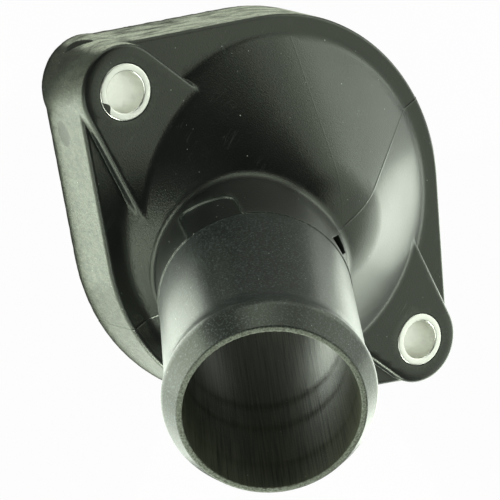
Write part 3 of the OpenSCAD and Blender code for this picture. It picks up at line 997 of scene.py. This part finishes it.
# %% Rubber
rubber, tree, surface = new_material("moulded_black_rubber")
place = add(tree, "TexCoord").outputs["Object"]
skin_grain = add(tree, "TexNoise", [("Vector", place)],
                 [("Scale", per_mm(0.25)), ("Detail", 3.0)])
chalk = add(tree, "TexNoise", [("Vector", place)], [("Scale", per_mm(4)), ("Detail", 4.0)])
tone = add(tree, "Mix", [(0, chalk.outputs[0])],
           [(6, linear("#131314")), (7, linear("#2a2a2b"))], data_type="RGBA")
sand = add(tree, "Bump", [("Height", skin_grain.outputs[0])],
           [("Strength", 0.5), ("Distance", 0.03 * MM)])
matt_rubber = add(tree, "BsdfPrincipled",
                  [("Base Color", tone.outputs[2]), ("Normal", sand.outputs[0])],
                  [("Roughness", 0.72), ("IOR", 1.52)])
tree.links.new(matt_rubber.outputs[0], surface)
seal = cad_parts["seal_ring"]
seal.data.materials.clear()
seal.data.materials.append(rubber)
print("seal carries", rubber.name)

# %% [markdown]
# ## Light table and soft boxes
# The photograph shows bright edges on the neck and a bright streak on the dome, and both
# mirror the ground beside the part. So the ground is lit from below there, as on a light
# table: panels that follow the flange's outline and shine upwards. Soft boxes stand round
# the part for the rest, most of them as low as the part itself. A lamp over the camera
# would be simpler, but would make the black lip and pads grey.

# %% Lit panels in the floor
LAMP_COLOUR = "#f6fff2"
PANEL_GAP, PANEL_REACH, PANEL_LIFT, PANEL_STEPS, HALVINGS = 1.0, 220.0, 0.3, 36, 40
# Each panel: from and to which azimuth in degrees, where it starts beyond the outline, strength
PANELS = {
    "light_panel_left": (285, 330, PANEL_GAP, 4.8),
    "light_panel_front": (330, 375, PANEL_GAP, 3.0),
    "light_panel_right": (75, 135, PANEL_GAP, 4.3),
    "light_panel_behind": (135, 165, 30.0, 2.1),
}


def outline_radius(angle):
    """How far the flange reaches on the floor in each direction, by halving."""
    inner, outer = np.zeros_like(angle), np.full_like(angle, 2 * BOLT_Y)
    for _ in range(HALVINGS):
        r = (inner + outer) / 2
        inside = flange(r * np.cos(angle), r * np.sin(angle), np.zeros_like(r)) < 0
        inner, outer = np.where(inside, r, inner), np.where(inside, outer, r)
    return inner


for name, (start, end, gap, strength) in PANELS.items():
    angle = np.radians(np.linspace(start, end, PANEL_STEPS + 1))
    reach = outline_radius(angle)
    rows = [np.stack([np.cos(angle) * r, np.sin(angle) * r, np.zeros_like(r)], axis=1) * MM
            for r in (reach + gap, reach + PANEL_REACH)]
    strips = [(i, i + PANEL_STEPS + 1, i + PANEL_STEPS + 2, i + 1) for i in range(PANEL_STEPS)]
    panel = add_mesh(name, np.concatenate(rows).tolist(), strips)
    opal, tree, surface = new_material("lit_opal_acrylic_" + name)
    # Opal acrylic spreads the light: the eye gets one even glow, and only upwards
    below = add(tree, "NewGeometry").outputs["Backfacing"]
    upwards = add(tree, "Mix", [(0, below)], [(2, strength), (3, 0.0)])
    shine = add(tree, "Emission", [("Strength", upwards.outputs[0])],
                [("Color", linear(LAMP_COLOUR))])
    tree.links.new(shine.outputs[0], surface)
    panel.data.materials.append(opal)
    panel.location.z = floor.location.z + PANEL_LIFT * MM
    panel.visible_camera = False
    print(name, "from", start, "to", end, "degrees, strength", strength)

# %% Soft boxes
# Each box: azimuth and elevation in degrees, distance, width and height in mm, power in W
SOFT_BOXES = {
    "low_box_front": (30, 8, 500, 240, 140, 2.57),
    "low_box_left": (345, 8, 500, 480, 140, 0.92),
    "low_box_right": (105, 8, 500, 480, 140, 0.82),
    "low_box_behind": (163, 8, 500, 460, 140, 0.73),
    "low_box_top": (225, 8, 500, 480, 140, 0.62),
    "mid_box_behind": (175, 30, 500, 460, 200, 0.48),
    "mid_box_right": (115, 30, 500, 460, 200, 0.43),
    "mid_box_left": (339, 39, 500, 400, 100, 0.72),
    "high_box": (135, 58, 500, 460, 240, 0.55),
}
BOX_CENTRE = Vector((0, 0, 20))


def area_lamp(name, width, height, power):
    """A rectangular soft lamp that the camera doesn't see."""
    lamp = add_object(name, bpy.data.lights.new(name, "AREA"))
    lamp.data.shape = "RECTANGLE"
    lamp.data.size, lamp.data.size_y = width * MM, height * MM
    lamp.data.energy = power
    lamp.data.color = linear(LAMP_COLOUR)[:3]
    lamp.visible_camera = False
    print("lamp", name, power, "W")
    return lamp


for name, (azimuth, elevation, distance, width, height, power) in SOFT_BOXES.items():
    lamp = area_lamp(name, width, height, power)
    lamp.location = (BOX_CENTRE + direction(azimuth, elevation) * distance) * MM
    aim = CAMERA_TARGET * MM - lamp.location
    lamp.rotation_euler = aim.to_track_quat("-Z", "Y").to_euler()

# %% Glows under the openings
# Light that comes up through the mouth and the bolt holes: place and side in mm, power in W
GLOW_LIFT = 0.5
GLOWS = (((18, 1), 9, 0.0021), ((-11, 15), 9, 0.0007), ((-3, 0), 36, 0.00065),
         ((BOLT_X, -BOLT_Y), 6.6, 0.00013), ((BOLT_X, BOLT_Y), 6.6, 0.00013))
for (x, y), side, power in GLOWS:
    glow = area_lamp("glow_below", side, side, power)
    glow.location = (x * MM, y * MM, GLOW_LIFT * MM)
    glow.rotation_euler.x = math.pi
